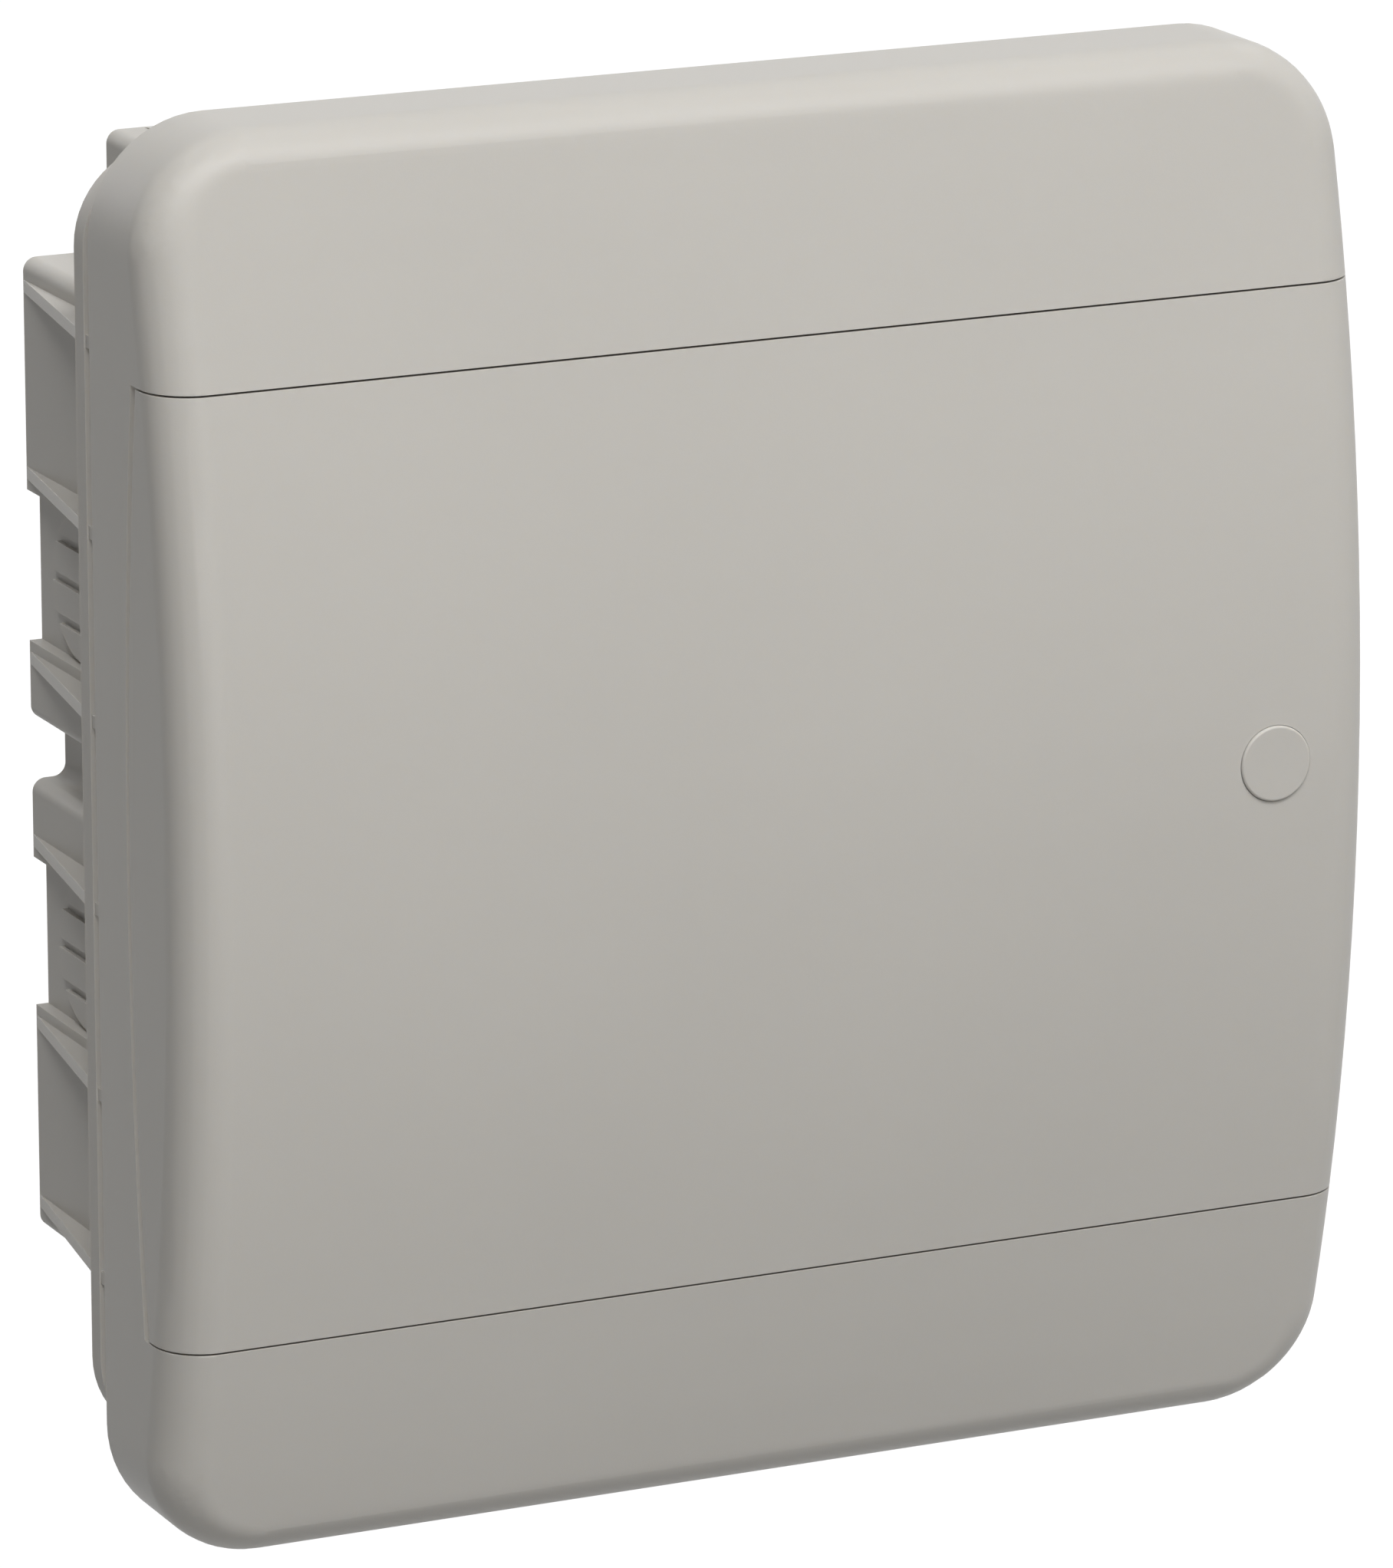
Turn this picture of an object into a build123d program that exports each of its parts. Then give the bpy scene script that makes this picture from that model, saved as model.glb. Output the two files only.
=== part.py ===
from build123d import *
import os
from math import sqrt

# Flush-mount distribution board for one row of modular devices, in millimetres.
# The origin is the centre of the wall box's back face, +X is right, +Z is up and the front looks
# along -Y, so Plane.XZ.offset(depth) lies that depth in front of the back face.

# Cover, whose front bows forward from its upper and lower edge to mid-height
cover_width = 236.0
cover_height = 260.0
cover_corner_radius = 21.8
cover_edge_depth = 21.65
cover_middle_depth = 40.6
cover_edge_fillet = 9.1
cover_wall = 2.5
cover_drop = 4.5

# Door, cut out of the bowed front along a parting line that bows back on both flanks
opening_height = 173.8
door_end_gap = 0.4
flank_end_depth = 18.9
flank_middle_depth = 14.0
flank_end_gap = 2.2
flank_middle_gap = 1.4
hinge_inset = 2.7
hinge_depth = 24.0
pin_radius = 1.5
pin_length = 2.6
pin_clearance = 0.05

# Panel behind the door, with the window for the devices
panel_depth = 5.5
panel_thickness = 2.0
module_count = 8
module_width = 18.0
window_height = 46.0
window_spare = 2.0
window_corner_radius = 1.0
window_rim = 2.0
window_rim_raise = 1.2

# Wall box, stepped at its four corners, with a flange that lies on the wall
flange_overhang = 11.0
flange_side_ledge = 7.3
flange_end_ledge = 6.15
flange_corner_radius = 17.0
flange_thickness = 4.2
flange_web = 2.2
flange_rim = 2.2
box_wall = 2.2
embed_depth = 43.4
corner_step_width = 16.4
corner_step_height = 21.85
corner_radius = 2.5
notch_height = 11.3
notch_depth = 6.5
rib_count = 6
rib_margin = 5.125
rib_thickness = 2.35
gusset_margin = 0.5
rest_height = 2.4
rest_width = 2.5
rest_inset = 0.3

# Conduit knockouts, each a raised disc with grooves in a shallow bay
knockout_diameter = 27.0
knockout_raise = 1.0
knockout_depth = 22.0
knockout_groove = 1.85
knockout_groove_pitch = 7.5
bay_clearance = 0.5
bay_depth = 2.4

# Holes in the back wall that fix the box in its recess
fixing_spacing_x = 130.0
fixing_spacing_z = 170.0
fixing_hole_radius = 2.4
fixing_boss_radius = 6.0
fixing_boss_height = 1.8

# Screws and their pillars and bosses
screw_slot_width = 0.9
screw_slot_share = 0.5
screw_pilot_clearance = 0.05
screw_hole_clearance = 0.4
screw_tip_room = 1.0
cover_screw_radius = 1.9
cover_screw_head_radius = 3.8
cover_screw_head_height = 2.5
cover_screw_grip = 12.0
cover_screw_inset = 8.9
pillar_radius = 4.5
pillar_wall_gap = 8.5
pillar_web = 2.0
pillar_web_drop = 4.0

# Mounting rail for the devices, a top-hat section
rail_width = 35.0
rail_height = 7.5
rail_crown = 27.0
rail_sheet = 1.0
rail_bend_radius = 1.6
rail_stand = 2.3
rail_overhang = 11.0
rail_slot_length = 15.0
rail_slot_width = 6.2
rail_slot_pitch = 25.0
rail_slot_count = 5
rail_screw_inset = 9.0
rail_screw_radius = 1.9
rail_screw_head_radius = 3.6
rail_screw_head_height = 2.4
rail_screw_grip = 3.2
rail_seat_width = 14.0

# Terminal bars on two supports each, above and below the devices
bar_offset = 68.0
bar_depth = 9.0
bar_thickness = 6.5
bar_end = 14.0
bar_clearance = 0.1
terminal_count = 8
terminal_pitch = 9.0
wire_hole_radius = 2.2
wire_hole_depth = 4.5
terminal_screw_radius = 1.7
terminal_screw_head_radius = 2.7
terminal_screw_head_height = 2.2
terminal_screw_grip = 3.4
support_boss_radius = 4.5
support_boss_height = 6.0
support_width = 10.0
support_height = 12.0
support_foot = 2.5
support_foot_length = 18.0
support_seat = 9.8
support_lip = 1.9
support_lip_reach = 0.7
support_screw_radius = 1.6
support_screw_head_radius = 3.2
support_screw_head_height = 2.2
support_screw_grip = 5.2
support_screw_inset = 4.5

# Latch: the button's stem wedges the bolt sideways, out of the keeper on the panel
button_inset = 21.2
button_radius = 7.1
button_gap = 0.1
button_raise = 0.5
button_edge_radius = 0.5
button_collar = 1.5
button_collar_thickness = 1.2
latch_gap = 0.3
latch_travel = 3.5
stem_width = 8.0
wedge_length = 4.0
wedge_gap = 0.15
wedge_engagement = 2.0
bolt_setback = 9.6
bolt_thickness = 4.0
bolt_height = 14.0
bolt_tail = 10.8
nose_height = 9.0
nose_length = 3.5
nose_bevel = 2.5
nose_engagement = 3.0
nose_end_gap = 0.5
keeper_wall = 2.0
keeper_height = 14.0
housing_wall = 2.0
housing_ledge = 1.8
housing_ledge_thickness = 1.5
housing_tail = 8.0
housing_nose_clearance = 6.5
lug_thickness = 2.0
lug_reach = 14.0
lug_radius = 4.5
lug_setback = 7.1
lug_stem_offset = 3.8
latch_screw_radius = 1.4
latch_screw_head_radius = 2.8
latch_screw_head_height = 1.8
latch_screw_grip = 5.0
peg_radius = 1.1
peg_length = 3.0
spring_radius = 1.75
spring_wire_radius = 0.3
spring_turns = 5
spring_end_gap = 0.1

# Depths in front of the wall box's back face
flange_front = embed_depth + flange_thickness
cover_back = flange_front + rest_height
panel_back = cover_back + panel_depth
panel_front = panel_back + panel_thickness
rail_back = box_wall + rail_stand
rail_front = rail_back + rail_height
support_back = box_wall + support_boss_height
bar_back = support_back + support_seat
bar_front = bar_back + bar_depth
hinge_y = -cover_back - hinge_depth

# Widths, heights and levels that follow from the cover
flange_height = cover_height - 2 * flange_overhang
box_width = cover_width - 2 * flange_side_ledge
box_height = flange_height - 2 * flange_end_ledge
block_width = box_width - 2 * corner_step_width
pad_height = box_height - 2 * corner_step_height
rib_pitch = (pad_height - 2 * rib_margin) / (rib_count - 1)
rib_levels = [(rib - (rib_count - 1) / 2) * rib_pitch for rib in range(rib_count)]
bay_height = knockout_diameter + 2 * bay_clearance
door_height = opening_height - 2 * door_end_gap
hinge_x = hinge_inset - cover_width / 2
button_x = cover_width / 2 - button_inset
window_width = module_count * module_width + window_spare
rail_length = window_width + 2 * rail_overhang
bar_length = terminal_count * terminal_pitch + 2 * bar_end
bow_sagitta = cover_middle_depth - cover_edge_depth
bow_radius = ((cover_height / 2) ** 2 + bow_sagitta**2) / (2 * bow_sagitta)
bow_centre = bow_radius - cover_back - cover_middle_depth

# Places of the screws, as X and Z
pillar_x = box_width / 2 - box_wall - pillar_wall_gap
pillar_rise = opening_height / 2 - cover_screw_inset
cover_screw_places = [(x, z - cover_drop) for x in (-pillar_x, pillar_x) for z in (-pillar_rise, pillar_rise)]
rail_screw_x = rail_length / 2 - rail_screw_inset
rail_screw_places = [(-rail_screw_x, -cover_drop), (rail_screw_x, -cover_drop)]
support_x = bar_length / 2 - support_width / 2
support_screw_x = bar_length / 2 - support_width + support_foot_length - support_screw_inset
bar_levels = {"neutral": bar_offset - cover_drop, "earth": -bar_offset - cover_drop}
support_screw_places = [(x, z) for x in (-support_screw_x, support_screw_x) for z in bar_levels.values()]
fixing_places = [(x * fixing_spacing_x / 2, z * fixing_spacing_z / 2) for x in (-1, 1) for z in (-1, 1)]
terminal_places = [(spot - (terminal_count - 1) / 2) * terminal_pitch for spot in range(terminal_count)]

AT_FRONT = (Align.CENTER, Align.CENTER, Align.MIN)
AT_BACK = (Align.CENTER, Align.CENTER, Align.MAX)


def facing(direction, depth, places):
    """Places at one depth, each turned to the front (-1) or to the back (1)."""
    return [Location(Plane((x, -depth, z), x_dir=(1, 0, 0), z_dir=(0, direction, 0))) for x, z in places]


def screws(direction, seat, places, shank_radius, length, head_radius, head_height):
    """Slotted pan-head screws, each a solid of its own, with their heads on a seat."""
    with BuildPart() as group:
        with Locations(*facing(direction, seat, places)):
            Cylinder(shank_radius, length, align=AT_BACK)
            Cylinder(head_radius, head_height, align=AT_FRONT)
        with Locations(*facing(direction, seat - direction * head_height, places)):
            Box(2 * head_radius, screw_slot_width, 2 * head_height * screw_slot_share, mode=Mode.SUBTRACT)
    return group.part


# Wall box


def box_outline(depth, inset):
    """The wall box's outline, drawn inset by a wall where it bounds the hollow inside."""
    with BuildSketch(Plane.XZ.offset(depth)) as outline:
        Rectangle(block_width - 2 * inset, box_height - 2 * inset)
        Rectangle(box_width - 2 * inset, pad_height - 2 * inset)
        with Locations((-box_width / 2, 0), (box_width / 2, 0)):
            Rectangle(2 * (notch_depth + inset), notch_height + 2 * inset, mode=Mode.SUBTRACT)
        fillet(outline.vertices(), corner_radius)
        for side in (-1, 1):
            with Locations((side * box_width / 2, -rib_pitch), (side * box_width / 2, rib_pitch)):
                Rectangle(2 * (bay_depth + inset), bay_height + 2 * inset, mode=Mode.SUBTRACT)
            with Locations((-rib_pitch, side * box_height / 2), (rib_pitch, side * box_height / 2)):
                Rectangle(bay_height + 2 * inset, 2 * (bay_depth + inset), mode=Mode.SUBTRACT)
    return outline.sketch


def knockout_planes():
    """A plane on the floor of every bay, facing outwards, with its X along the depth."""
    planes = []
    for side in (-1, 1):
        for level in (-rib_pitch, rib_pitch):
            side_spot = (side * (box_width / 2 - bay_depth), -knockout_depth, level)
            end_spot = (level, -knockout_depth, side * (box_height / 2 - bay_depth))
            planes.append(Plane(side_spot, x_dir=(0, -1, 0), z_dir=(side, 0, 0)))
            planes.append(Plane(end_spot, x_dir=(0, -1, 0), z_dir=(0, 0, side)))
    return planes


flange_web_back = flange_front - flange_web
with BuildPart() as wall_box:
    with BuildSketch(Plane.XZ.offset(embed_depth)):
        RectangleRounded(cover_width, flange_height, flange_corner_radius)
    extrude(amount=flange_thickness)
    with BuildSketch(Plane.XZ.offset(embed_depth)):
        RectangleRounded(
            cover_width - 2 * flange_rim, flange_height - 2 * flange_rim, flange_corner_radius - flange_rim
        )
    extrude(amount=flange_thickness - flange_web, mode=Mode.SUBTRACT)
    extrude(box_outline(0, 0), amount=flange_front)

    # Gussets that grow from the back edge to the flange, on all four walls
    with BuildSketch(*[Plane.XY.offset(level - rib_thickness / 2) for level in rib_levels]):
        for side in (-1, 1):
            with BuildLine():
                Polyline(
                    (side * box_width / 2, 0),
                    (side * (cover_width / 2 - gusset_margin), -flange_web_back),
                    (side * (box_width - box_wall) / 2, -flange_web_back),
                    close=True,
                )
            make_face()
    extrude(amount=rib_thickness)
    with BuildSketch(*[Plane.YZ.offset(level - rib_thickness / 2) for level in rib_levels]):
        for side in (-1, 1):
            with BuildLine():
                Polyline(
                    (0, side * box_height / 2),
                    (-flange_web_back, side * (flange_height / 2 - gusset_margin)),
                    (-flange_web_back, side * (box_height - box_wall) / 2),
                    close=True,
                )
            make_face()
    extrude(amount=rib_thickness)
    extrude(box_outline(box_wall, box_wall), amount=flange_front, mode=Mode.SUBTRACT)

    # Rests on the flange that carry the cover's flanks
    with BuildSketch(Plane.XZ.offset(flange_front)):
        for side in (-1, 1):
            rest_x = side * (cover_width / 2 - rest_inset - rest_width / 2)
            with Locations(*[(rest_x, level) for level in rib_levels]):
                Rectangle(rest_width, rib_thickness)
    extrude(amount=rest_height)

    # Knockout discs, each cut by grooves that run along the depth
    for plane in knockout_planes():
        with BuildSketch(plane):
            Circle(knockout_diameter / 2)
            with Locations((0, -knockout_groove_pitch), (0, 0), (0, knockout_groove_pitch)):
                Rectangle(knockout_diameter, knockout_groove, mode=Mode.SUBTRACT)
    extrude(amount=knockout_raise)

    # Pillars for the cover screws, each tied to its side wall
    with Locations(*facing(-1, box_wall, cover_screw_places)):
        Cylinder(pillar_radius, flange_front - box_wall, align=AT_FRONT)
    pillar_web_length = box_width / 2 - box_wall / 2 - pillar_x
    with BuildSketch(Plane.XZ.offset(box_wall)):
        for x, z in cover_screw_places:
            web_reach = pillar_web_length / 2 if x > 0 else -pillar_web_length / 2
            with Locations((x + web_reach, z)):
                Rectangle(pillar_web_length, pillar_web)
    extrude(amount=flange_front - box_wall - pillar_web_drop)
    with Locations(*facing(-1, flange_front, cover_screw_places)):
        Hole(cover_screw_radius + screw_pilot_clearance, cover_screw_grip + screw_tip_room)

    # Seats for the rail, bosses for the terminal supports and bosses at the fixing holes
    with BuildSketch(Plane.XZ.offset(box_wall)):
        with Locations(*rail_screw_places):
            Rectangle(rail_seat_width, rail_crown)
    extrude(amount=rail_stand)
    with Locations(*facing(-1, rail_back, rail_screw_places)):
        Hole(rail_screw_radius + screw_pilot_clearance, rail_screw_grip)
    with Locations(*facing(-1, box_wall, support_screw_places)):
        Cylinder(support_boss_radius, support_boss_height, align=AT_FRONT)
    with Locations(*facing(-1, support_back, support_screw_places)):
        Hole(support_screw_radius + screw_pilot_clearance, support_screw_grip + screw_tip_room)
    with Locations(*facing(-1, box_wall, fixing_places)):
        Cylinder(fixing_boss_radius, fixing_boss_height, align=AT_FRONT)
    with Locations(*facing(-1, box_wall + fixing_boss_height, fixing_places)):
        Hole(fixing_hole_radius, box_wall + fixing_boss_height)

# Cover frame


def front_depth(inset, rise):
    """Depth of the bowed front, inset by a wall, at a rise above the cover's centre."""
    return sqrt((bow_radius - inset) ** 2 - rise**2) - bow_centre


def bowed_form(inset):
    """The rounded, bowed body of cover and door together, inset by a wall for its hollow."""
    reach = cover_height / 2 + cover_wall
    with BuildPart() as form:
        with BuildSketch(Plane.XZ.offset(cover_back)):
            with Locations((0, -cover_drop)):
                RectangleRounded(
                    cover_width - 2 * inset, cover_height - 2 * inset, cover_corner_radius - inset
                )
        extrude(amount=2 * cover_middle_depth)
        with BuildSketch(Plane.YZ):
            with BuildLine():
                bow = ThreePointArc(
                    (-front_depth(inset, reach), -cover_drop + reach),
                    (-front_depth(inset, 0), -cover_drop),
                    (-front_depth(inset, reach), -cover_drop - reach),
                )
                Polyline(bow @ 1, (0, -cover_drop - reach), (0, -cover_drop + reach), bow @ 0)
            make_face()
        extrude(amount=cover_width, both=True, mode=Mode.INTERSECT)
        fillet(form.faces().sort_by(Axis.Y)[0].edges(), cover_edge_fillet - inset)
    return form.part


def parting_zone(height, end_depth, middle_depth):
    """All that lies in front of a parting line bowing back from both ends to the middle."""
    top = height / 2 - cover_drop
    bottom = -height / 2 - cover_drop
    front = -cover_back - 2 * cover_middle_depth
    with BuildPart() as zone:
        with BuildSketch(Plane.YZ):
            with BuildLine():
                parting = ThreePointArc(
                    (-cover_back - end_depth, top),
                    (-cover_back - middle_depth, -cover_drop),
                    (-cover_back - end_depth, bottom),
                )
                Polyline(parting @ 1, (front, bottom), (front, top), parting @ 0)
            make_face()
        extrude(amount=cover_width, both=True)
    return zone.part


def cover_hollow():
    """The hollow of the cover, which leaves the panel and the end walls beside the door."""
    with BuildPart() as hollow:
        add(bowed_form(cover_wall))
        with BuildSketch(Plane.XZ.offset(panel_back)):
            with Locations((0, -cover_drop)):
                Rectangle(cover_width, opening_height + 2 * cover_wall)
        extrude(amount=panel_thickness, mode=Mode.SUBTRACT)
        with BuildSketch(Plane.XZ.offset(panel_back)):
            with Locations((0, -cover_drop)):
                Rectangle(cover_width, opening_height + 2 * cover_wall)
                Rectangle(cover_width, opening_height, mode=Mode.SUBTRACT)
        extrude(amount=2 * cover_middle_depth, mode=Mode.SUBTRACT)
    return hollow.part


# Latch depths and places, from the button's face inwards
skin_back = front_depth(cover_wall, 0)
collar_front = skin_back - latch_gap
collar_back = collar_front - button_collar_thickness
bolt_front = skin_back - bolt_setback
bolt_back = bolt_front - bolt_thickness
stem_left = button_x - stem_width / 2
stem_right = button_x + stem_width / 2
stem_tip = bolt_front - wedge_engagement
wedge_top = stem_tip + wedge_length
bolt_ramp = stem_left + wedge_top - bolt_front - wedge_gap
bolt_window_end = stem_right + latch_travel + wedge_gap
bolt_left = button_x - bolt_tail
nose_root = bolt_window_end + nose_length
nose_tip = nose_root + nose_length
keeper_left = nose_tip - nose_engagement
keeper_inner = nose_tip + nose_end_gap
keeper_lip_back = bolt_front + latch_gap
keeper_lip_front = keeper_lip_back + keeper_wall

with BuildPart() as cover_frame:
    add(bowed_form(0))
    add(cover_hollow(), mode=Mode.SUBTRACT)
    add(parting_zone(opening_height, flank_end_depth, flank_middle_depth), mode=Mode.SUBTRACT)

    # Window for the devices, with a raised rim
    with BuildSketch(Plane.XZ.offset(panel_front)):
        with Locations((0, -cover_drop)):
            RectangleRounded(
                window_width + 2 * window_rim, window_height + 2 * window_rim, window_corner_radius + window_rim
            )
    extrude(amount=window_rim_raise)
    with BuildSketch(Plane.XZ.offset(panel_back)):
        with Locations((0, -cover_drop)):
            RectangleRounded(window_width, window_height, window_corner_radius)
    extrude(amount=panel_thickness + window_rim_raise, mode=Mode.SUBTRACT)

    # Bosses that stand on the wall box's pillars
    with Locations(*facing(-1, flange_front, cover_screw_places)):
        Cylinder(pillar_radius, panel_back - flange_front, align=AT_FRONT)
    with Locations(*facing(-1, panel_front, cover_screw_places)):
        Hole(cover_screw_radius + screw_hole_clearance, panel_front - flange_front)

    # Bearing holes for the door's pins, in the end walls
    with Locations((hinge_x, hinge_y, -cover_drop)):
        Cylinder(pin_radius + pin_clearance, opening_height + 2 * cover_wall, mode=Mode.SUBTRACT)

    # Keeper, a hook whose lip lies in front of the bolt's nose
    with BuildSketch(Plane.XY.offset(-cover_drop - keeper_height / 2)):
        with BuildLine():
            Polyline(
                (keeper_inner, -panel_back),
                (keeper_inner + keeper_wall, -panel_back),
                (keeper_inner + keeper_wall, -keeper_lip_front),
                (keeper_left, -keeper_lip_front),
                (keeper_left, -keeper_lip_back),
                (keeper_inner, -keeper_lip_back),
                close=True,
            )
        make_face()
    extrude(amount=keeper_height)

# Door

lug_places = [(button_x - lug_stem_offset, z - cover_drop) for z in (-lug_reach, lug_reach)]
lug_front = skin_back - lug_setback
with BuildPart() as door_hollow:
    add(bowed_form(cover_wall))
    with BuildSketch(Plane.XZ.offset(cover_back)):
        with Locations((0, -cover_drop)):
            Rectangle(cover_width, door_height - 2 * cover_wall)
    extrude(amount=2 * cover_middle_depth, mode=Mode.INTERSECT)

with BuildPart() as door:
    add(bowed_form(0))
    add(
        parting_zone(door_height, flank_end_depth + flank_end_gap, flank_middle_depth + flank_middle_gap),
        mode=Mode.INTERSECT,
    )
    add(door_hollow.part, mode=Mode.SUBTRACT)

    # Pins at both ends, one moulding with the end walls
    with Locations((hinge_x, hinge_y, -cover_drop)):
        Cylinder(pin_radius, door_height + 2 * pin_length)
        Cylinder(pin_radius, door_height - 2 * cover_wall, mode=Mode.SUBTRACT)

    # Hole for the button and bosses for the latch housing
    with Locations(*facing(-1, lug_front, lug_places)):
        Cylinder(lug_radius, lug_setback + cover_wall / 2, align=AT_FRONT)
    with Locations(*facing(1, lug_front, lug_places)):
        Hole(latch_screw_radius + screw_pilot_clearance, latch_screw_grip + screw_tip_room)
    with Locations(*facing(-1, skin_back, [(button_x, -cover_drop)])):
        Cylinder(button_radius + button_gap, 2 * cover_wall, mode=Mode.SUBTRACT)

# Latch

with BuildPart() as latch_button:
    button_front = front_depth(0, 0) + button_raise
    with Locations(*facing(-1, collar_back, [(button_x, -cover_drop)])):
        Cylinder(button_radius + button_collar, button_collar_thickness, align=AT_FRONT)
        Cylinder(button_radius, button_front - collar_back, align=AT_FRONT)
    fillet(latch_button.faces().sort_by(Axis.Y)[0].edges(), button_edge_radius)
    with BuildSketch(Plane.XY.offset(-cover_drop - stem_width / 2)):
        with BuildLine():
            Polyline(
                (stem_left, -collar_back),
                (stem_right, -collar_back),
                (stem_right, -stem_tip),
                (stem_left + wedge_length, -stem_tip),
                (stem_left, -wedge_top),
                close=True,
            )
        make_face()
    extrude(amount=stem_width)

with BuildPart() as latch_bolt:
    with BuildSketch(Plane.XZ.offset(bolt_back)):
        with Locations(((bolt_left + nose_root) / 2, -cover_drop)):
            Rectangle(nose_root - bolt_left, bolt_height)
        with Locations(((bolt_left + nose_tip) / 2, -cover_drop)):
            Rectangle(nose_tip - bolt_left, nose_height)
    extrude(amount=bolt_thickness)
    window_half = stem_width / 2 + latch_gap
    with BuildSketch(Plane.XY.offset(-cover_drop - window_half)):
        with BuildLine():
            Polyline(
                (bolt_ramp, -bolt_front),
                (bolt_window_end, -bolt_front),
                (bolt_window_end, -bolt_back),
                (bolt_ramp + bolt_thickness, -bolt_back),
                close=True,
            )
        make_face()
    extrude(amount=2 * window_half, mode=Mode.SUBTRACT)
    with BuildSketch(Plane.XY.offset(-cover_drop - nose_height / 2)):
        with BuildLine():
            Polyline(
                (nose_tip, -bolt_back),
                (nose_tip, -bolt_back - nose_bevel),
                (nose_tip - nose_bevel, -bolt_back),
                close=True,
            )
        make_face()
    extrude(amount=nose_height, mode=Mode.SUBTRACT)
    peg_y = -(bolt_front + bolt_back) / 2
    with BuildSketch(Plane.YZ.offset(bolt_left)):
        with Locations((peg_y, -cover_drop)):
            Circle(peg_radius)
    extrude(amount=-peg_length)

housing_end = bolt_left - housing_tail
housing_front_end = nose_tip - housing_nose_clearance
cheek_inner = bolt_height / 2 + latch_gap
cheek_outer = cheek_inner + housing_wall
floor_front = bolt_back - latch_gap
floor_back = floor_front - housing_wall
ledge_back = bolt_front + latch_gap
ledge_front = ledge_back + housing_ledge_thickness
with BuildPart() as latch_housing:
    # Channel that guides the bolt, closed at its left end
    with BuildSketch(Plane.YZ.offset(housing_end - housing_wall)):
        with Locations((-(floor_back + lug_front) / 2, -cover_drop)):
            Rectangle(lug_front - floor_back, 2 * cheek_outer)
    extrude(amount=housing_front_end - housing_end + housing_wall)
    with BuildSketch(Plane.YZ.offset(housing_end)):
        with Locations((-(floor_front + lug_front) / 2, -cover_drop)):
            Rectangle(lug_front - floor_front, 2 * cheek_inner)
        for side in (-1, 1):
            ledge_z = side * (cheek_inner - housing_ledge / 2) - cover_drop
            with Locations((-(ledge_back + ledge_front) / 2, ledge_z)):
                Rectangle(ledge_front - ledge_back, housing_ledge, mode=Mode.SUBTRACT)
    extrude(amount=housing_front_end - housing_end, mode=Mode.SUBTRACT)
    with BuildSketch(Plane.XZ.offset(floor_back)):
        with Locations((button_x, -cover_drop)):
            Rectangle(stem_width + 2 * latch_gap, stem_width + 2 * latch_gap)
    extrude(amount=housing_wall, mode=Mode.SUBTRACT)

    # Lugs that sit on the door's bosses
    with BuildSketch(Plane.XZ.offset(lug_front - lug_thickness)):
        for x, z in lug_places:
            lug_root = cheek_inner if z > -cover_drop else -cheek_inner
            with Locations((x, z)):
                Circle(lug_radius)
            with Locations((x, (z + lug_root - cover_drop) / 2)):
                Rectangle(2 * lug_radius, abs(z + cover_drop - lug_root))
    extrude(amount=lug_thickness)
    with Locations(*facing(-1, lug_front, lug_places)):
        Hole(latch_screw_radius + screw_hole_clearance, lug_thickness)

spring_start = housing_end + spring_end_gap + spring_wire_radius
spring_length = bolt_left - spring_end_gap - spring_wire_radius - spring_start
with BuildPart() as latch_spring:
    with BuildLine():
        coil = Helix(
            spring_length / spring_turns,
            spring_length,
            spring_radius,
            center=(spring_start, peg_y, -cover_drop),
            direction=(1, 0, 0),
        )
    with BuildSketch(Plane(coil @ 0, z_dir=coil % 0)):
        Circle(spring_wire_radius)
    sweep(is_frenet=True)

# Mounting rail

with BuildPart() as din_rail:
    with BuildSketch(Plane.YZ.offset(-rail_length / 2)):
        with BuildLine():
            FilletPolyline(
                (rail_sheet - rail_front, -rail_width / 2 - cover_drop),
                (rail_sheet - rail_front, -rail_crown / 2 - cover_drop),
                (-rail_back, -rail_crown / 2 - cover_drop),
                (-rail_back, rail_crown / 2 - cover_drop),
                (rail_sheet - rail_front, rail_crown / 2 - cover_drop),
                (rail_sheet - rail_front, rail_width / 2 - cover_drop),
                radius=rail_bend_radius,
            )
            offset(amount=rail_sheet, side=Side.LEFT)
        make_face()
    extrude(amount=rail_length)
    with BuildSketch(Plane.XZ.offset(rail_back)):
        with Locations((0, -cover_drop)):
            with GridLocations(rail_slot_pitch, 1, rail_slot_count, 1):
                SlotOverall(rail_slot_length, rail_slot_width)
        with Locations(*rail_screw_places):
            Circle(rail_screw_radius + screw_hole_clearance)
    extrude(amount=rail_sheet, mode=Mode.SUBTRACT)

# Terminal bars and their supports


def terminal_bar(level):
    """A bar with a cross hole for each wire and a threaded hole for each terminal screw."""
    with BuildPart() as bar:
        with Locations((0, -(bar_back + bar_front) / 2, level)):
            Box(bar_length, bar_depth, bar_thickness)
        with Locations(*[(x, -bar_front + wire_hole_depth, level) for x in terminal_places]):
            Cylinder(wire_hole_radius, bar_thickness, mode=Mode.SUBTRACT)
        with Locations(*facing(-1, bar_front, [(x, level) for x in terminal_places])):
            Hole(terminal_screw_radius + screw_pilot_clearance, wire_hole_depth)
    return bar.part


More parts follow.
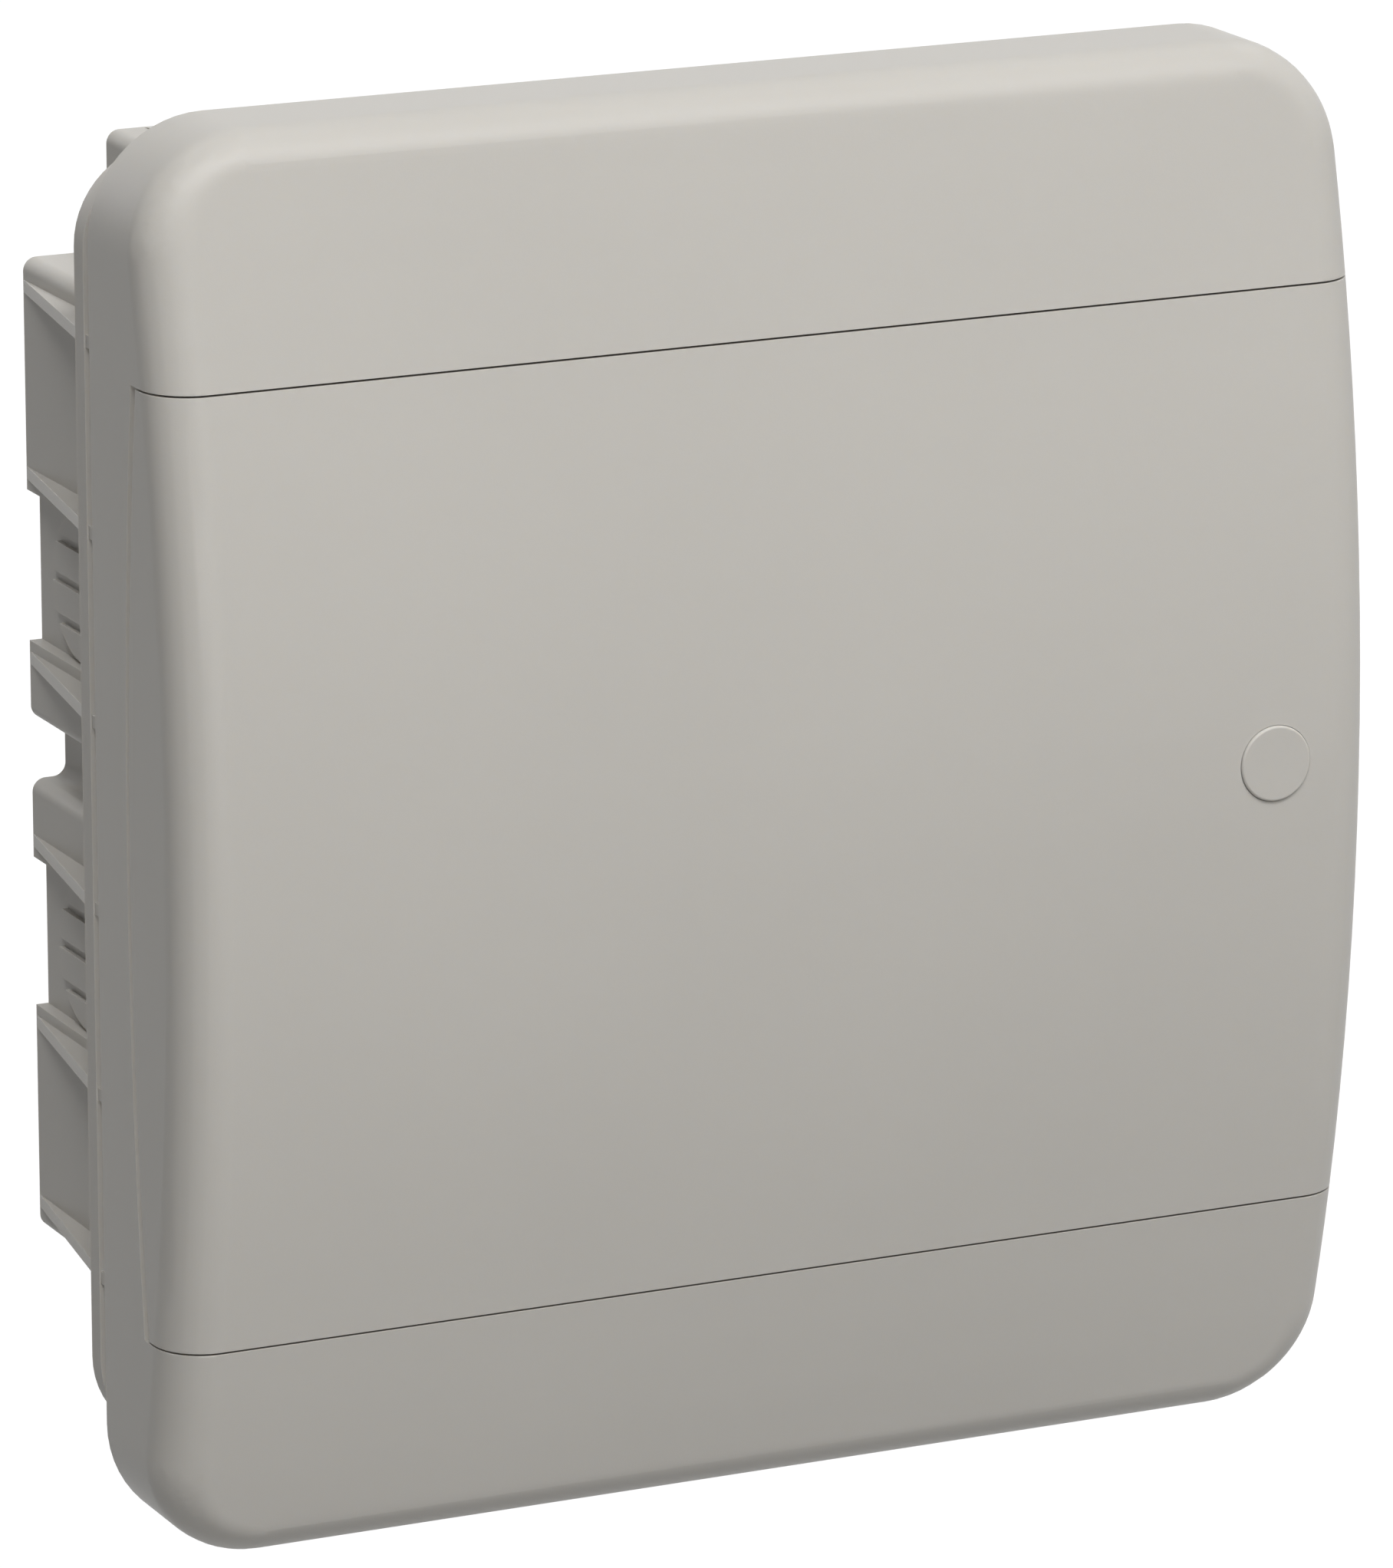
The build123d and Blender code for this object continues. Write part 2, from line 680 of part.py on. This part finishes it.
def terminal_support(side, level):
    """One end support: a foot with its screw hole, and a jaw that clips over the bar's end."""
    seat_half = bar_thickness / 2 + bar_clearance
    jaw_front = bar_front + bar_clearance + support_lip
    foot_x = side * (bar_length / 2 - support_width + support_foot_length / 2)
    with BuildPart() as support:
        with BuildSketch(Plane.XZ.offset(support_back)):
            with Locations((foot_x, level)):
                Rectangle(support_foot_length, support_height)
        extrude(amount=support_foot)
        with BuildSketch(Plane.YZ.offset(side * support_x - support_width / 2)):
            with Locations((-(support_back + jaw_front) / 2, level)):
                Rectangle(jaw_front - support_back, support_height)
            with BuildLine():
                Polyline(
                    (-bar_back, level - seat_half),
                    (-jaw_front + support_lip, level - seat_half),
                    (-jaw_front + support_lip, level - seat_half + support_lip_reach),
                    (-jaw_front, level - seat_half),
                    (-jaw_front, level + seat_half),
                    (-jaw_front + support_lip, level + seat_half - support_lip_reach),
                    (-jaw_front + support_lip, level + seat_half),
                    (-bar_back, level + seat_half),
                    close=True,
                )
            make_face(mode=Mode.SUBTRACT)
        extrude(amount=support_width)
        with Locations(*facing(-1, support_back + support_foot, [(side * support_screw_x, level)])):
            Hole(support_screw_radius + screw_hole_clearance, support_foot)
    return support.part


parts = {
    "wall_box": wall_box.part,
    "cover_frame": cover_frame.part,
    "cover_screws": screws(
        -1,
        panel_front,
        cover_screw_places,
        cover_screw_radius,
        panel_front - flange_front + cover_screw_grip,
        cover_screw_head_radius,
        cover_screw_head_height,
    ),
    "door": door.part,
    "latch_button": latch_button.part,
    "latch_bolt": latch_bolt.part,
    "latch_spring": latch_spring.part,
    "latch_housing": latch_housing.part,
    "latch_screws": screws(
        1,
        lug_front - lug_thickness,
        lug_places,
        latch_screw_radius,
        lug_thickness + latch_screw_grip,
        latch_screw_head_radius,
        latch_screw_head_height,
    ),
    "din_rail": din_rail.part,
    "rail_screws": screws(
        -1,
        rail_back + rail_sheet,
        rail_screw_places,
        rail_screw_radius,
        rail_sheet + rail_screw_grip,
        rail_screw_head_radius,
        rail_screw_head_height,
    ),
    "support_screws": screws(
        -1,
        support_back + support_foot,
        support_screw_places,
        support_screw_radius,
        support_foot + support_screw_grip,
        support_screw_head_radius,
        support_screw_head_height,
    ),
}
for bar_name, bar_level in bar_levels.items():
    parts[f"{bar_name}_bar"] = terminal_bar(bar_level)
    parts[f"{bar_name}_support_left"] = terminal_support(-1, bar_level)
    parts[f"{bar_name}_support_right"] = terminal_support(1, bar_level)
    parts[f"{bar_name}_screws"] = screws(
        -1,
        bar_front,
        [(x, bar_level) for x in terminal_places],
        terminal_screw_radius,
        terminal_screw_grip,
        terminal_screw_head_radius,
        terminal_screw_head_height,
    )

os.makedirs("parts", exist_ok=True)
for name, solid in parts.items():
    solid.label = name
    export_step(solid, f"parts/{name}.step")
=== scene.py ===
import math

import bpy
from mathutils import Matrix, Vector


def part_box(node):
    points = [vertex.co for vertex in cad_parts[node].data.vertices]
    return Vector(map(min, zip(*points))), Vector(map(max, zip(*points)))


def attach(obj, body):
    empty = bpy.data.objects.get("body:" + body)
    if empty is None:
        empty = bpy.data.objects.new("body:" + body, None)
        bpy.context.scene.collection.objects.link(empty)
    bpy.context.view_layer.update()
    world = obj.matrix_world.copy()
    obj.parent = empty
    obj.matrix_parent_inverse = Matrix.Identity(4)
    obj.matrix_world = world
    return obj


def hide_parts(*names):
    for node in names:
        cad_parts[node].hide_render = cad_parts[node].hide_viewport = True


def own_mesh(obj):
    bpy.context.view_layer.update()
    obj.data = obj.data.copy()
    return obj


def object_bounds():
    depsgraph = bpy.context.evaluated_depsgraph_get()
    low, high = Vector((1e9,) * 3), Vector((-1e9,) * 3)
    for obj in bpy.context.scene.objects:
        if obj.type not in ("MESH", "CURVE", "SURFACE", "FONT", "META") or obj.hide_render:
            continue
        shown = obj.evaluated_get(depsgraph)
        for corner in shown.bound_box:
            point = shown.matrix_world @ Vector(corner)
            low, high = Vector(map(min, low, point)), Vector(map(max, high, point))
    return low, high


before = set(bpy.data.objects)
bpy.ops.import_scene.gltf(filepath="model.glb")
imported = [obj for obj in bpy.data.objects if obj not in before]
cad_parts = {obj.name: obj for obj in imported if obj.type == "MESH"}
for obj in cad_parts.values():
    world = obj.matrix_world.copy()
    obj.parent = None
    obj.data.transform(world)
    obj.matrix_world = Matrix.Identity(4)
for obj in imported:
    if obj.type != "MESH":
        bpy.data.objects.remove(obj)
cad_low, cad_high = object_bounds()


# Wall box: one injection moulding of light grey plastic, plastered into the recess in the wall.
# Its mould was spark-eroded, so the faces scatter light softly and the edges have a small radius.
noise_span = (0.3, 0.7)  # where most values of a noise lie


def new_finish(name):
    """A new material, with its node tree and its shader."""
    material = bpy.data.materials.new(name)
    material.use_nodes = True
    tree = material.node_tree
    return material, tree, tree.nodes["Principled BSDF"]


def tone_and_sheen(tree, pattern, tones, roughness, span=(0.0, 1.0)):
    """Lets a pattern drive the colour between two tones and the roughness between two values."""
    surface = tree.nodes["Principled BSDF"]
    tone = tree.nodes.new("ShaderNodeValToRGB")
    for stop, position, colour in zip(tone.color_ramp.elements, span, tones):
        stop.position = position
        stop.color = (*colour, 1)
    tree.links.new(pattern, tone.inputs["Fac"])
    tree.links.new(tone.outputs["Color"], surface.inputs["Base Color"])
    sheen = tree.nodes.new("ShaderNodeMapRange")
    sheen.inputs["To Min"].default_value = roughness[0]
    sheen.inputs["To Max"].default_value = roughness[1]
    tree.links.new(pattern, sheen.inputs["Value"])
    tree.links.new(sheen.outputs["Result"], surface.inputs["Roughness"])


def moulded_plastic(name, colour, roughness, grain, depth):
    """Plastic from an eroded mould: a fine grain, and a tone and sheen that drift a little."""
    tone_drift = 0.015
    sheen_drift = 0.05
    erosion_depth = 0.00004
    material, tree, surface = new_finish(name)
    surface.inputs["Specular IOR Level"].default_value = 0.25
    surface.inputs["Subsurface Weight"].default_value = 0.6
    surface.inputs["Subsurface Radius"].default_value = (1.0, 0.9, 0.75)
    surface.inputs["Subsurface Scale"].default_value = depth

    place = tree.nodes.new("ShaderNodeTexCoord")
    drift = tree.nodes.new("ShaderNodeTexNoise")
    drift.inputs["Scale"].default_value = 9.0
    drift.inputs["Detail"].default_value = 3.0
    tree.links.new(place.outputs["Object"], drift.inputs["Vector"])
    darker = [(1 - tone_drift) * channel for channel in colour]
    lighter = [(1 + tone_drift) * channel for channel in colour]
    sheen_range = (roughness - sheen_drift, roughness + sheen_drift)
    tone_and_sheen(tree, drift.outputs["Fac"], (darker, lighter), sheen_range, noise_span)

    erosion = tree.nodes.new("ShaderNodeTexNoise")
    erosion.inputs["Scale"].default_value = 2400.0
    erosion.inputs["Detail"].default_value = 2.0
    tree.links.new(place.outputs["Object"], erosion.inputs["Vector"])
    bump = tree.nodes.new("ShaderNodeBump")
    bump.inputs["Strength"].default_value = grain
    bump.inputs["Distance"].default_value = erosion_depth
    tree.links.new(erosion.outputs["Fac"], bump.inputs["Height"])
    tree.links.new(bump.outputs["Normal"], surface.inputs["Normal"])
    return material


def softened_edges(node, body, radius, material):
    """The node's own form with its sharp edges rounded, as they come out of a mould or a press."""
    merge_distance = 0.000002
    flat_angle = math.radians(0.2)
    sharp_angle = math.radians(40)
    bpy.ops.object.select_all(action="DESELECT")
    piece = bpy.data.objects.new(node + "_finished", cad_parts[node].data.copy())
    bpy.context.scene.collection.objects.link(piece)
    bpy.context.view_layer.objects.active = piece
    piece.select_set(True)
    bpy.ops.object.mode_set(mode="EDIT")
    bpy.ops.mesh.select_all(action="SELECT")
    bpy.ops.mesh.remove_doubles(threshold=merge_distance)
    bpy.ops.mesh.customdata_custom_splitnormals_clear()
    bpy.ops.mesh.dissolve_limited(angle_limit=flat_angle)
    bpy.ops.object.mode_set(mode="OBJECT")
    rounding = piece.modifiers.new("edge radius", "BEVEL")
    rounding.width = radius
    rounding.segments = 2
    rounding.limit_method = "ANGLE"
    rounding.angle_limit = sharp_angle
    rounding.use_clamp_overlap = True
    bpy.ops.object.modifier_apply(modifier="edge radius")
    bpy.ops.object.shade_smooth_by_angle(angle=sharp_angle)
    evening = piece.modifiers.new("even faces", "WEIGHTED_NORMAL")
    evening.keep_sharp = True
    bpy.ops.object.modifier_apply(modifier="even faces")
    piece.data.materials.clear()
    piece.data.materials.append(material)
    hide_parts(node)
    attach(piece, body)
    return piece


box_plastic = moulded_plastic(
    "box_plastic", colour=(0.55, 0.53, 0.495), roughness=0.5, grain=0.3, depth=0.001
)
wall_box = softened_edges("wall_box", "board", radius=0.00025, material=box_plastic)


# Mounting rail: a 35 mm top-hat section, rolled from galvanised strip and punched with slots.
# It lies on two seats of the wall box, and the modular devices clip onto its brims.
def galvanised_strip(name):
    """Hot-dip zinc with its crystal pattern, a few millimetres across, in tone and in sheen."""
    dull_zinc = (0.50, 0.51, 0.53)
    bright_zinc = (0.68, 0.69, 0.70)
    material, tree, surface = new_finish(name)
    surface.inputs["Metallic"].default_value = 1.0
    place = tree.nodes.new("ShaderNodeTexCoord")
    crystals = tree.nodes.new("ShaderNodeTexVoronoi")
    crystals.inputs["Scale"].default_value = 260.0
    tree.links.new(place.outputs["Object"], crystals.inputs["Vector"])
    tone_and_sheen(
        tree, crystals.outputs["Color"], tones=(dull_zinc, bright_zinc), roughness=(0.3, 0.46)
    )
    return material


rail_steel = galvanised_strip("rail_steel")
rail = softened_edges("din_rail", "board", radius=0.00012, material=rail_steel)


# Rail screws: zinc-plated pan-head screws with a slot and a cross, cold-headed, their threads rolled.
# They go through the rail's ends into its seats.
heads_to_front = -1  # the sign along Y
heads_to_back = 1


def drawn_metal(name, colour, roughness, stretch):
    """Metal drawn or rolled to shape, with fine lines stretched along X by the given amount."""
    streak_tone = 0.86
    sheen_drift = 0.08
    material, tree, surface = new_finish(name)
    surface.inputs["Metallic"].default_value = 1.0
    place = tree.nodes.new("ShaderNodeTexCoord")
    drawing = tree.nodes.new("ShaderNodeMapping")
    drawing.inputs["Scale"].default_value = (1.0, stretch, stretch)
    tree.links.new(place.outputs["Object"], drawing.inputs["Vector"])
    streaks = tree.nodes.new("ShaderNodeTexNoise")
    streaks.inputs["Scale"].default_value = 240.0
    streaks.inputs["Detail"].default_value = 4.0
    tree.links.new(drawing.outputs["Vector"], streaks.inputs["Vector"])
    darker = [streak_tone * channel for channel in colour]
    sheen_range = (roughness - sheen_drift, roughness + sheen_drift)
    tone_and_sheen(tree, streaks.outputs["Fac"], (darker, colour), sheen_range, noise_span)
    return material


def apply_place(piece):
    """Puts a piece's place, turn and size into its mesh."""
    bpy.ops.object.select_all(action="DESELECT")
    piece.select_set(True)
    bpy.context.view_layer.objects.active = piece
    bpy.ops.object.transform_apply(location=True, rotation=True, scale=True)


def helix(profile, pitch, turns, steps):
    """Winds a closed profile round the Z axis and closes both ends of the winding."""
    most_profile_sides = 16
    winding = profile.modifiers.new("winding", "SCREW")
    winding.axis = "Z"
    winding.screw_offset = pitch
    winding.iterations = turns
    winding.steps = steps
    winding.render_steps = steps
    bpy.ops.object.modifier_apply(modifier="winding")
    bpy.ops.object.mode_set(mode="EDIT")
    bpy.ops.mesh.select_all(action="SELECT")
    bpy.ops.mesh.fill_holes(sides=most_profile_sides)
    bpy.ops.mesh.select_all(action="SELECT")
    bpy.ops.mesh.normals_make_consistent(inside=False)
    bpy.ops.object.mode_set(mode="OBJECT")


def pan_head_screw(head_radius, head_height, shank_radius, shank_length, pitch):
    """One screw with its seat at the origin and its head up."""
    upper_rim = 0.9 * head_height
    dome = 0.55 * head_height
    recess_width = 0.24 * head_radius
    slot_length = 2.2 * head_radius
    cross_length = 1.1 * head_radius
    core_radius = shank_radius - 0.35 * pitch
    thread_radius = 0.42 * pitch
    thread_start = 0.5 * pitch - shank_length
    thread_turns = int(shank_length / pitch) - 1

    bpy.ops.object.select_all(action="DESELECT")
    bpy.ops.mesh.primitive_cylinder_add(
        vertices=32, radius=head_radius, depth=head_height, location=(0, 0, head_height / 2)
    )
    head = bpy.context.object
    apply_place(head)
    bpy.context.tool_settings.mesh_select_mode = (False, True, False)
    bpy.ops.object.mode_set(mode="EDIT")
    bpy.ops.mesh.select_all(action="DESELECT")
    bpy.ops.object.mode_set(mode="OBJECT")
    for edge in head.data.edges:
        edge.select = all(head.data.vertices[v].co.z > upper_rim for v in edge.vertices)
    bpy.ops.object.mode_set(mode="EDIT")
    bpy.ops.mesh.bevel(offset=dome, segments=4, affect="EDGES")
    bpy.ops.object.mode_set(mode="OBJECT")
    for length, turn in ((slot_length, 0), (cross_length, math.pi / 2)):
        bpy.ops.mesh.primitive_cube_add(
            size=1,
            location=(0, 0, head_height),
            rotation=(0, 0, turn),
            scale=(length, recess_width, head_height),
        )
        cutter = bpy.context.object
        recess = head.modifiers.new("recess", "BOOLEAN")
        recess.operation = "DIFFERENCE"
        recess.object = cutter
        bpy.context.view_layer.objects.active = head
        bpy.ops.object.modifier_apply(modifier="recess")
        bpy.data.objects.remove(cutter)

    bpy.ops.mesh.primitive_cylinder_add(
        vertices=24, radius=core_radius, depth=shank_length, location=(0, 0, -shank_length / 2)
    )
    core = bpy.context.object
    apply_place(core)
    bpy.ops.mesh.primitive_circle_add(
        vertices=4,
        radius=thread_radius,
        location=(shank_radius - thread_radius, 0, thread_start),
        rotation=(math.pi / 2, 0, 0),
    )
    thread = bpy.context.object
    apply_place(thread)
    helix(thread, pitch, thread_turns, steps=18)

    bpy.ops.object.select_all(action="DESELECT")
    for piece in (core, thread, head):
        piece.select_set(True)
    bpy.context.view_layer.objects.active = head
    bpy.ops.object.join()
    return head


def spread(low, high, count):
    """Even places between two ends, or the middle for a single one."""
    if count == 1:
        return [(low + high) / 2]
    return [low + (high - low) * step / (count - 1) for step in range(count)]


def screw_set(
    node, body, columns, rows, head_radius, head_height, shank_radius, pitch, facing=heads_to_front
):
    """Screws in even columns and rows over the node's box, their heads to the front or the back."""
    smooth_angle = math.radians(35)
    low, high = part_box(node)
    shank_length = high.y - low.y - head_height
    screw = pan_head_screw(head_radius, head_height, shank_radius, shank_length, pitch)
    seat = low.y + head_height if facing == heads_to_front else high.y - head_height
    copies = []
    for x in spread(low.x + head_radius, high.x - head_radius, columns):
        for z in spread(low.z + head_radius, high.z - head_radius, rows):
            copy = screw.copy()
            copy.data = screw.data.copy()
            copy.location = (x, seat, z)
            copy.rotation_euler = (-facing * math.pi / 2, 0, 0)
            bpy.context.scene.collection.objects.link(copy)
            copies.append(copy)
    bpy.data.objects.remove(screw)
    bpy.ops.object.select_all(action="DESELECT")
    for copy in copies:
        copy.select_set(True)
    bpy.context.view_layer.objects.active = copies[0]
    bpy.ops.object.join()
    group = bpy.context.object
    group.name = node + "_finished"
    apply_place(group)
    bpy.ops.object.shade_smooth_by_angle(angle=smooth_angle)
    group.data.materials.clear()
    group.data.materials.append(zinc_steel)
    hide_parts(node)
    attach(group, body)


zinc_steel = drawn_metal("zinc_steel", colour=(0.66, 0.67, 0.69), roughness=0.3, stretch=1.0)
screw_set(
    "rail_screws",
    "board",
    columns=2,
    rows=1,
    head_radius=0.0036,
    head_height=0.0024,
    shank_radius=0.0019,
    pitch=0.0009,
)


# Terminal supports: blue mouldings for the neutral bar and green ones for the earth bar.
# Each stands on a boss of the wall box, held by a screw through its foot.
support_edge_radius = 0.0003
neutral_plastic = moulded_plastic(
    "neutral_plastic", colour=(0.04, 0.17, 0.48), roughness=0.4, grain=0.2, depth=0.0005
)
earth_plastic = moulded_plastic(
    "earth_plastic", colour=(0.06, 0.31, 0.11), roughness=0.4, grain=0.2, depth=0.0005
)
for side in ("left", "right"):
    neutral_support = softened_edges(
        f"neutral_support_{side}", "board", support_edge_radius, neutral_plastic
    )
    earth_support = softened_edges(
        f"earth_support_{side}", "board", support_edge_radius, earth_plastic
    )
screw_set(
    "support_screws",
    "board",
    columns=2,
    rows=2,
    head_radius=0.0032,
    head_height=0.0022,
    shank_radius=0.0016,
    pitch=0.0009,
)


# Terminal bars: drawn brass, cross-drilled for the wires and tapped for a screw over each wire.
# They snap into the jaws of their supports.
bar_brass = drawn_metal("bar_brass", colour=(0.76, 0.57, 0.26), roughness=0.32, stretch=40.0)
for use in ("neutral", "earth"):
    bar = softened_edges(f"{use}_bar", "board", radius=0.0002, material=bar_brass)
    screw_set(
        f"{use}_screws",
        "board",
        columns=8,
        rows=1,
        head_radius=0.0027,
        head_height=0.0022,
        shank_radius=0.0017,
        pitch=0.0006,
    )


# Cover frame: one moulding of satin grey plastic, with the bowed upper and lower shoulder and the
# panel behind the door. It stands on the wall box's rests and pillars and is held by four screws
# through the panel.
cover_plastic = moulded_plastic(
    "cover_plastic", colour=(0.56, 0.54, 0.503), roughness=0.42, grain=0.2, depth=0.0005
)
cover_frame = softened_edges("cover_frame", "board", radius=0.00015, material=cover_plastic)
screw_set(
    "cover_screws",
    "board",
    columns=2,
    rows=2,
    head_radius=0.0038,
    head_height=0.0025,
    shank_radius=0.0019,
    pitch=0.0014,
)


# Door: one moulding of the cover's plastic, bowed like the cover, with both flanks and its hinge
# pins in one piece. The pins snap into the cover's end walls on the left.
door = softened_edges("door", "door", radius=0.00015, material=cover_plastic)


# Latch: a grey moulded housing, screwed behind the door, guides a bolt of the same plastic.
# The button's wedge draws the bolt back when it is pressed, and its collar keeps it behind the
# door's skin.
latch_plastic = moulded_plastic(
    "latch_plastic", colour=(0.40, 0.40, 0.39), roughness=0.42, grain=0.2, depth=0.0005
)
latch_housing = softened_edges("latch_housing", "door", radius=0.0002, material=latch_plastic)
latch_bolt = softened_edges("latch_bolt", "bolt", radius=0.00025, material=latch_plastic)
latch_button = softened_edges("latch_button", "button", radius=0.0001, material=cover_plastic)
screw_set(
    "latch_screws",
    "door",
    columns=1,
    rows=2,
    head_radius=0.0028,
    head_height=0.0018,
    shank_radius=0.0014,
    pitch=0.0009,
    facing=heads_to_back,
)


# Latch spring: a small coil of drawn spring wire that pushes the bolt out.
# It rests against the housing. In the real latch the bolt squeezes it when it is drawn back, but here
# it moves with the door and keeps its shape.
wire_radius = 0.0003
spring_turns = 5
spring_low, spring_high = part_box("latch_spring")
spring_length = spring_high.x - spring_low.x - 2 * wire_radius
coil_radius = (spring_high.z - spring_low.z) / 2 - wire_radius
bpy.ops.object.select_all(action="DESELECT")
bpy.ops.mesh.primitive_circle_add(
    vertices=12, radius=wire_radius, location=(coil_radius, 0, 0), rotation=(math.pi / 2, 0, 0)
)
spring = bpy.context.object
spring.name = "latch_spring_finished"
apply_place(spring)
helix(spring, spring_length / spring_turns, spring_turns, steps=36)
spring.rotation_euler = (0, math.pi / 2, 0)
spring.location = (
    spring_low.x + wire_radius,
    (spring_low.y + spring_high.y) / 2,
    (spring_low.z + spring_high.z) / 2,
)
apply_place(spring)
bpy.ops.object.shade_smooth()
spring_steel = drawn_metal("spring_steel", colour=(0.5, 0.5, 0.51), roughness=0.28, stretch=1.0)
spring.data.materials.append(spring_steel)
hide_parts("latch_spring")
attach(spring, "door")
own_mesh(spring)


# Studio: a pale paper floor well below the board, which hangs as it would on its wall.
# The floor and the room look white to the eye and in reflections, and the floor keeps the shadow.
def seen_rays(tree):
    """1 for the camera's rays, in reflections and through clear pieces, and 0 for all others."""
    ray = tree.nodes.new("ShaderNodeLightPath")
    seen_or_glossy = tree.nodes.new("ShaderNodeMath")
    seen_or_glossy.operation = "MAXIMUM"
    tree.links.new(ray.outputs["Is Camera Ray"], seen_or_glossy.inputs[0])
    tree.links.new(ray.outputs["Is Glossy Ray"], seen_or_glossy.inputs[1])
    seen = tree.nodes.new("ShaderNodeMath")
    seen.operation = "MAXIMUM"
    tree.links.new(seen_or_glossy.outputs["Value"], seen.inputs[0])
    tree.links.new(ray.outputs["Is Transmission Ray"], seen.inputs[1])
    return seen.outputs["Value"]


def studio_paper(name):
    """Grey paper with a glow that makes it white to the eye, and clear when seen from below."""
    grey = 0.3
    glow = 0.76
    material, tree, surface = new_finish(name)
    surface.inputs["Base Color"].default_value = (grey, grey, grey, 1)
    surface.inputs["Roughness"].default_value = 0.9
    surface.inputs["Specular IOR Level"].default_value = 0.0
    surface.inputs["Emission Color"].default_value = (1, 1, 1, 1)
    lift = tree.nodes.new("ShaderNodeMapRange")
    lift.inputs["To Max"].default_value = glow
    tree.links.new(seen_rays(tree), lift.inputs["Value"])
    tree.links.new(lift.outputs["Result"], surface.inputs["Emission Strength"])
    face = tree.nodes.new("ShaderNodeNewGeometry")
    clear = tree.nodes.new("ShaderNodeBsdfTransparent")
    one_way = tree.nodes.new("ShaderNodeMixShader")
    tree.links.new(face.outputs["Backfacing"], one_way.inputs["Fac"])
    tree.links.new(surface.outputs["BSDF"], one_way.inputs[1])
    tree.links.new(clear.outputs["BSDF"], one_way.inputs[2])
    tree.links.new(one_way.outputs["Shader"], tree.nodes["Material Output"].inputs["Surface"])
    return material


floor_drop = 0.16
floor_size = 30
bpy.ops.object.select_all(action="DESELECT")
bpy.ops.mesh.primitive_plane_add(size=floor_size, location=(0, 0, cad_low.z - floor_drop))
floor = bpy.context.object
floor.name = "studio_floor"
floor.data.materials.append(studio_paper("studio_paper"))

room_light = 0.025
room = bpy.data.worlds.new("studio_room")
bpy.context.scene.world = room
room.use_nodes = True
walls = room.node_tree
white = walls.nodes["Background"]
white.inputs["Color"].default_value = (1.0, 1.0, 1.0, 1)
level = walls.nodes.new("ShaderNodeMapRange")
level.inputs["To Min"].default_value = room_light
level.inputs["To Max"].default_value = 1.0
walls.links.new(seen_rays(walls), level.inputs["Value"])
walls.links.new(level.outputs["Result"], white.inputs["Strength"])

# Each lamp has its strength, its breadth in degrees and the way its light travels.
# The two front lamps cast no shadow, so that the narrow slits don't go black.
lamps = {
    "right_key": (1.88, 30, (-0.197, 0.56, -0.805)),
    "left_key": (1.28, 20, (0.287, 0.479, -0.83)),
    "front_key": (0.42, 10, (0, 1, 0)),
    "front_fill": (0.14, 180, (0, 1, 0)),
    "right_rim": (0.2, 20, (-0.6, -0.3, -0.74)),
    "rear_fill": (1.3, 8, (0, -1, 0)),
}
for name, (strength, breadth, travel) in lamps.items():
    lamp = bpy.data.lights.new(name, "SUN")
    lamp.energy = strength
    lamp.angle = math.radians(breadth)
    lamp.use_shadow = not name.startswith("front")
    stand = bpy.data.objects.new(name, lamp)
    stand.rotation_euler = Vector(travel).to_track_quat("-Z", "Y").to_euler()
    bpy.context.scene.collection.objects.link(stand)


# Camera: a long lens from the front left, a little above the board, as in the photograph.
# Its place and line of sight were fitted to the edges of the cover and the wall box.
viewpoint = (-0.7367, -1.6126, 0.4571)
line_of_sight = Vector((0.41147, 0.87369, -0.25955))
camera = bpy.data.cameras.new("camera")
camera.lens = 225.7
camera.sensor_width = 36
camera.clip_end = 60
viewer = bpy.data.objects.new("camera", camera)
viewer.location = viewpoint
viewer.rotation_euler = line_of_sight.to_track_quat("-Z", "Y").to_euler()
bpy.context.scene.collection.objects.link(viewer)
bpy.context.scene.camera = viewer
bpy.context.scene.view_settings.view_transform = "Standard"
